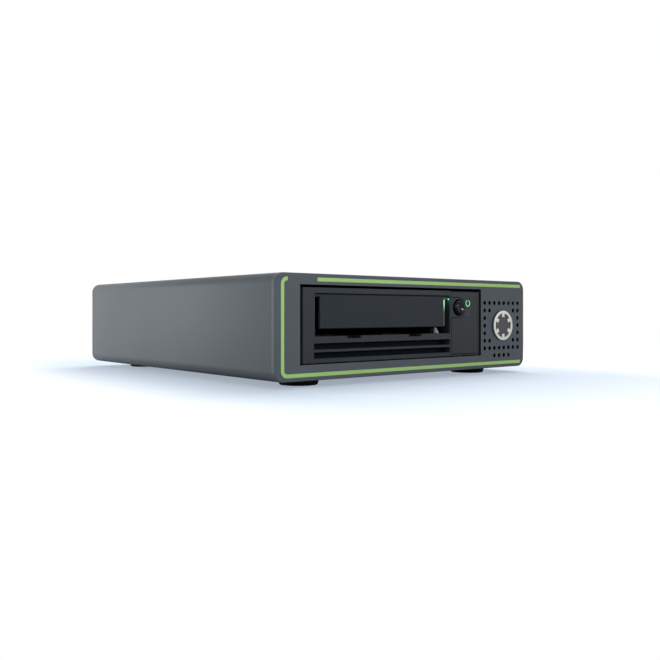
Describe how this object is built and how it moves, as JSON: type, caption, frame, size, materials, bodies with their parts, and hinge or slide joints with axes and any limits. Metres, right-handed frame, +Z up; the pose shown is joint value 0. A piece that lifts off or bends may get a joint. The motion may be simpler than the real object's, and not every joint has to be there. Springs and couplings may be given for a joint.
{
  "type": "data tape drive",
  "caption": "Desktop tape drive in a grey metal case with a green stripe: door with sled loader, reel, rollers, head, fan, power supply and rear ports.",
  "frame": {"origin": "centre of the footprint, on the surface the feet stand on", "axes": "+X to the right seen from the front, +Y towards the back, +Z up"},
  "size_m": [0.2116, 0.2436, 0.0622],
  "materials": {
    "case_finish": "fine matt textured grey",
    "stripe_green": "satin green",
    "badge_dark": "satin dark grey",
    "badge_pale": "satin",
    "screw_black": "black oxide",
    "foot_rubber": "matt",
    "chassis_steel": "zinc plated",
    "fan_black": "matt",
    "cast_alloy": "as cast",
    "cover_steel": "rolled",
    "bezel_plastic": "fine texture",
    "door_plastic": "fine texture",
    "control_plastic": "fine texture",
    "button_gloss": "polished",
    "lamp_green": "lit green",
    "lamp_dim": "unlit",
    "dome_rubber": "matt",
    "board_green": "solder mask",
    "pin_steel": "ground",
    "spring_steel": "bright",
    "loader_black": "satin",
    "tray_black": "black coated",
    "gear_white": "satin",
    "motor_steel": "zinc plated",
    "hub_white": "satin",
    "reel_grey": "satin",
    "roller_metal": "polished",
    "head_alloy": "machined",
    "port_metal": "tin plated",
    "cable_grey": "satin",
    "core_grey": "ferrite",
    "can_black": "satin sleeve",
    "fin_alloy": "extruded",
    "inlet_black": "satin",
    "pin_brass": "nickel plated",
    "rocker_black": "satin",
    "lead_black": "satin"
  },
  "bodies": {
    "case": {"enclosure_sleeve": "case_finish", "front_panel": "case_finish", "accent_stripe": "stripe_green", "badge_disc": "badge_dark", "badge_ring": "badge_pale", "rear_panel": "case_finish", "rear_panel_screws": "screw_black", "underside_screws": "screw_black", "rubber_feet": "foot_rubber", "inner_chassis": "chassis_steel", "drive_brackets": "chassis_steel", "fan_bracket": "chassis_steel", "fan_frame": "fan_black", "fan_screws": "screw_black", "drive_base": "cast_alloy", "drive_top_cover": "cover_steel", "drive_screws": "pin_steel", "drive_bezel": "bezel_plastic", "control_cover": "control_plastic", "status_lamp": "lamp_green", "fault_lamp": "lamp_dim", "bay_lamp": "lamp_green", "button_dome": "dome_rubber", "lamp_board": "board_green", "door_pin": "pin_steel", "guide_spring": "spring_steel", "loader_motor": "motor_steel", "spindle_motor": "motor_steel", "takeup_motor": "motor_steel", "bearing_posts": "pin_steel", "head_frame": "cast_alloy", "drive_board": "board_green", "data_port_cage": "port_metal", "interface_board": "board_green", "data_cable": "cable_grey", "power_board": "board_green", "transformer": "core_grey", "capacitors": "can_black", "heat_sinks": "fin_alloy", "power_inlet": "inlet_black", "inlet_pins": "pin_brass", "switch_housing": "inlet_black", "power_leads": "lead_black"},
    "door": {"cartridge_door": "door_plastic"},
    "button": {"eject_button": "button_gloss"},
    "sled": {"loader_sled": "loader_black"},
    "tray": {"cartridge_tray": "tray_black"},
    "idler": {"idler_gear": "gear_white"},
    "reducer": {"reduction_gear": "gear_white"},
    "pinion": {"loader_pinion": "pin_brass"},
    "drive_hub": {"spindle_hub": "hub_white"},
    "reel": {"takeup_reel": "reel_grey"},
    "head": {"head_carriage": "head_alloy"},
    "arm": {"threader_arm": "cover_steel"},
    "fan": {"fan_rotor": "fan_black"},
    "rocker": {"switch_rocker": "rocker_black"},
    "roller_1": {"guide_roller_1": "roller_metal"},
    "roller_2": {"guide_roller_2": "roller_metal"},
    "roller_3": {"guide_roller_3": "roller_metal"},
    "roller_4": {"guide_roller_4": "roller_metal"}
  },
  "joints": [
    {"name": "door_swing", "type": "hinge", "parent": "case", "child": "door", "pos_m": [-0.0247, -0.11797, 0.0504], "axis": [1, 0, 0], "range_deg": [0, 86], "stiffness_Nm_per_rad": 0.0012, "springref_deg": -20.05},
    {"name": "eject_press", "type": "slide", "parent": "case", "child": "button", "axis": [0, 1, 0], "range_m": [0, 0.0012], "stiffness_N_per_m": 500, "springref_m": -0.0006, "deforming": ["button_dome"]},
    {"name": "sled_travel", "type": "slide", "parent": "case", "child": "sled", "axis": [0, 1, 0], "range_m": [0, 0.018]},
    {"name": "tray_drop", "type": "slide", "parent": "sled", "child": "tray", "axis": [0, 0, -1], "range_m": [0, 0.0036]},
    {"name": "idler_turn", "type": "hinge", "parent": "case", "child": "idler", "pos_m": [0.0394, -0.04, 0.031], "axis": [0, 0, 1], "range_deg": [-143.4, 0.1]},
    {"name": "reducer_turn", "type": "hinge", "parent": "case", "child": "reducer", "pos_m": [0.0432, -0.02862, 0.035], "axis": [0, 0, 1], "range_deg": [-0.1, 215]},
    {"name": "pinion_turn", "type": "hinge", "parent": "case", "child": "pinion", "pos_m": [0.0457, -0.01362, 0.041], "axis": [0, 0, 1], "range_deg": [-601.8, 0.1]},
    {"name": "drive_hub_turn", "type": "hinge", "parent": "case", "child": "drive_hub", "pos_m": [-0.0247, -0.0573, 0.0245], "axis": [0, 0, 1], "continuous": true},
    {"name": "reel_turn", "type": "hinge", "parent": "case", "child": "reel", "pos_m": [-0.0398, 0.04, 0.034], "axis": [0, 0, 1], "continuous": true},
    {"name": "roller_1_turn", "type": "hinge", "parent": "case", "child": "roller_1", "pos_m": [0.0142, 0.004, 0.034], "axis": [0, 0, 1], "continuous": true},
    {"name": "roller_2_turn", "type": "hinge", "parent": "case", "child": "roller_2", "pos_m": [0.0282, 0.019, 0.034], "axis": [0, 0, 1], "continuous": true},
    {"name": "roller_3_turn", "type": "hinge", "parent": "case", "child": "roller_3", "pos_m": [0.0282, 0.052, 0.034], "axis": [0, 0, 1], "continuous": true},
    {"name": "roller_4_turn", "type": "hinge", "parent": "case", "child": "roller_4", "pos_m": [0.0122, 0.07, 0.034], "axis": [0, 0, 1], "continuous": true},
    {"name": "head_shift", "type": "slide", "parent": "case", "child": "head", "axis": [0, 0, 1], "range_m": [-0.0015, 0.0015]},
    {"name": "arm_swing", "type": "hinge", "parent": "case", "child": "arm", "pos_m": [0.0062, 0.038, 0.047], "axis": [0, 0, 1], "range_deg": [0, 110]},
    {"name": "fan_turn", "type": "hinge", "parent": "case", "child": "fan", "pos_m": [0.08155, -0.1, 0.0322], "axis": [0, 1, 0], "continuous": true},
    {"name": "power_rock", "type": "hinge", "parent": "case", "child": "rocker", "pos_m": [0.08155, 0.11678, 0.0474], "axis": [1, 0, 0], "range_deg": [-16, 0]}
  ],
  "couplings": [
    {"joint": "idler_turn", "follows": "sled_travel", "rad_per_m": -138.89},
    {"joint": "reducer_turn", "follows": "sled_travel", "rad_per_m": 208.33},
    {"joint": "pinion_turn", "follows": "sled_travel", "rad_per_m": -583.33}
  ]
}
